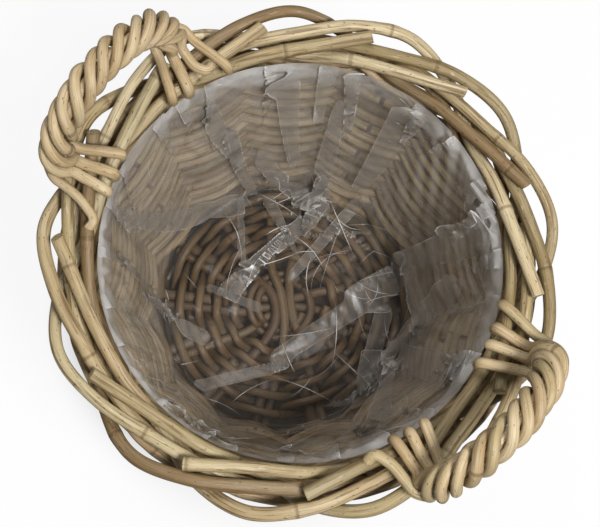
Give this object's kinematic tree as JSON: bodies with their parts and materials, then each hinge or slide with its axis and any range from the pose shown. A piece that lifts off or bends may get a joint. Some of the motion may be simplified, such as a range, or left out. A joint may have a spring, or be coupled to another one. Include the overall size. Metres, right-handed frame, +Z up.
{
  "type": "rattan basket",
  "caption": "Round woven planter basket with a braided rod border, twisted rope handles and a clear film liner.",
  "frame": {"origin": "on the floor, at the middle of the basket's bounding box seen from above", "axes": "+Z up through the opening, X through the two handles"},
  "size_m": [0.4401, 0.4201, 0.3775],
  "materials": {
    "rattan": "satin",
    "rattan_golden": "satin",
    "rattan_grey": "matte",
    "film": "gloss"
  },
  "bodies": {
    "root": {"stake_01": "rattan", "stake_02": "rattan", "stake_03": "rattan", "stake_04": "rattan", "stake_05": "rattan", "stake_06": "rattan", "stake_07": "rattan", "stake_08": "rattan", "stake_09": "rattan", "stake_10": "rattan", "stake_11": "rattan", "stake_12": "rattan", "stake_13": "rattan", "base_stick_1": "rattan_grey", "base_stick_2": "rattan_grey", "base_stick_3": "rattan_grey", "base_stick_4": "rattan_grey", "base_stick_5": "rattan_grey", "base_stick_6": "rattan_grey", "base_half_stick": "rattan_grey", "base_weaver_1": "rattan_grey", "base_weaver_2": "rattan_grey", "upsett_rod_1": "rattan_grey", "upsett_rod_2": "rattan_grey", "upsett_rod_3": "rattan_grey", "side_weaver_1": "rattan", "side_weaver_2": "rattan", "side_weaver_3": "rattan", "side_weaver_4": "rattan", "side_weaver_5": "rattan", "side_weaver_6": "rattan", "side_weaver_7": "rattan", "side_weaver_8": "rattan", "side_weaver_9": "rattan", "side_weaver_10": "rattan", "side_weaver_11": "rattan", "side_weaver_12": "rattan", "side_weaver_13": "rattan", "side_weaver_14": "rattan", "side_weaver_15": "rattan", "side_weaver_16": "rattan", "side_weaver_17": "rattan", "side_weaver_18": "rattan", "side_weaver_19": "rattan", "side_weaver_20": "rattan", "top_wale_rod_1": "rattan", "top_wale_rod_2": "rattan", "top_wale_rod_3": "rattan", "handle_right_bow": "rattan_golden", "handle_right_strand_1": "rattan_golden", "handle_right_strand_2": "rattan_golden", "handle_right_strand_3": "rattan_golden", "handle_right_strand_4": "rattan_golden", "handle_left_bow": "rattan_golden", "handle_left_strand_1": "rattan_golden", "handle_left_strand_2": "rattan_golden", "handle_left_strand_3": "rattan_golden", "handle_left_strand_4": "rattan_golden", "film_liner": "film"}
  },
  "joints": []
}
